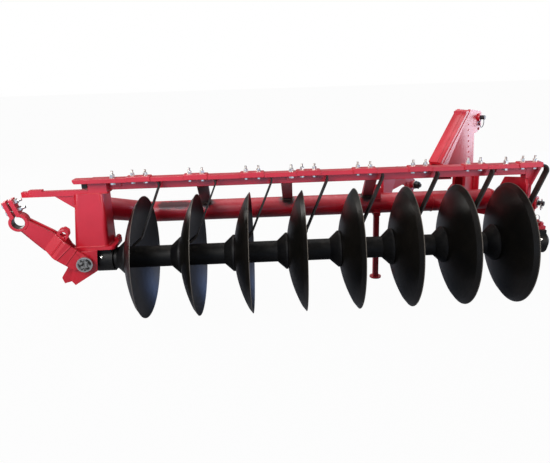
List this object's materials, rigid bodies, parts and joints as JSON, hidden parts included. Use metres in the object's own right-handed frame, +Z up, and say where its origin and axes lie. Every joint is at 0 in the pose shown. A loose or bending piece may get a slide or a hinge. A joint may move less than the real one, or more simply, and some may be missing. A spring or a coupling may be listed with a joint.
{
  "type": "disc plough",
  "caption": "Mounted disc plough: dished discs on one turning gang under a pipe beam, with scrapers, a three-point hitch, a stand leg and a tail wheel arm.",
  "frame": {"origin": "bottom centre of the whole plough's box, on the ground it is parked on", "axes": "+X along the gang from the tail end to the hitch end, +Y away from the discs' scrapers towards the main pipe, +Z up; the tractor pulls along the diagonal between +X and +Y"},
  "size_m": [2.9664, 1.2204, 1.028],
  "materials": {
    "red_paint": "gloss red paint",
    "disc_steel": "black, semi-gloss",
    "black_casting": "black, semi-gloss",
    "scraper_steel": "black, satin",
    "dark_steel": "blackened",
    "zinc_steel": "zinc plated"
  },
  "bodies": {
    "frame": {"bar_clamps": "red_paint", "beam_elbow": "red_paint", "beam_struts": "red_paint", "cross_beam": "red_paint", "far_arm": "red_paint", "front_base_plate": "red_paint", "front_bearing": "black_casting", "front_end_plate": "red_paint", "front_post": "red_paint", "link_pins": "dark_steel", "main_beam": "red_paint", "mast_foot": "red_paint", "mast_front_plate": "red_paint", "mast_plates": "red_paint", "mast_stay": "red_paint", "near_arm": "red_paint", "pin_bosses": "red_paint", "rear_bearing": "black_casting", "scraper_1": "scraper_steel", "scraper_2": "scraper_steel", "scraper_3": "scraper_steel", "scraper_4": "scraper_steel", "scraper_5": "scraper_steel", "scraper_6": "scraper_steel", "scraper_7": "scraper_steel", "scraper_8": "scraper_steel", "scraper_bar": "red_paint", "scraper_caps": "red_paint", "stand_sleeve": "red_paint", "strut_bar": "red_paint", "tail_base_plate": "red_paint", "tail_box": "red_paint", "tail_bracket": "red_paint", "tail_pin": "zinc_steel", "top_beam": "red_paint", "top_block": "red_paint", "top_pin": "dark_steel"},
    "gang": {"gang_shaft": "dark_steel", "spools": "black_casting", "disc_1": "disc_steel", "disc_2": "disc_steel", "disc_3": "disc_steel", "disc_4": "disc_steel", "disc_5": "disc_steel", "disc_6": "disc_steel", "disc_7": "disc_steel", "disc_8": "disc_steel"},
    "tail_arm": {"arm_plate_near": "red_paint", "arm_plate_far": "red_paint", "tail_ring": "red_paint", "clamp_bolts": "zinc_steel", "arm_lug": "red_paint", "arm_spacer": "red_paint"},
    "stand_leg": {"stand_leg": "red_paint"}
  },
  "joints": [
    {"name": "gang_spin", "type": "hinge", "parent": "frame", "child": "gang", "pos_m": [0.17113, -0.28025, 0.33], "axis": [1, 0, 0], "continuous": true},
    {"name": "tail_arm_swing", "type": "hinge", "parent": "frame", "child": "tail_arm", "pos_m": [-1.13287, -0.33725, 0.346], "axis": [-0.2079, 0.9781, 0], "range_deg": [-35, 0]},
    {"name": "stand_leg_slide", "type": "slide", "parent": "frame", "child": "stand_leg", "axis": [0, 0, 1], "range_m": [0, 0.2]}
  ]
}
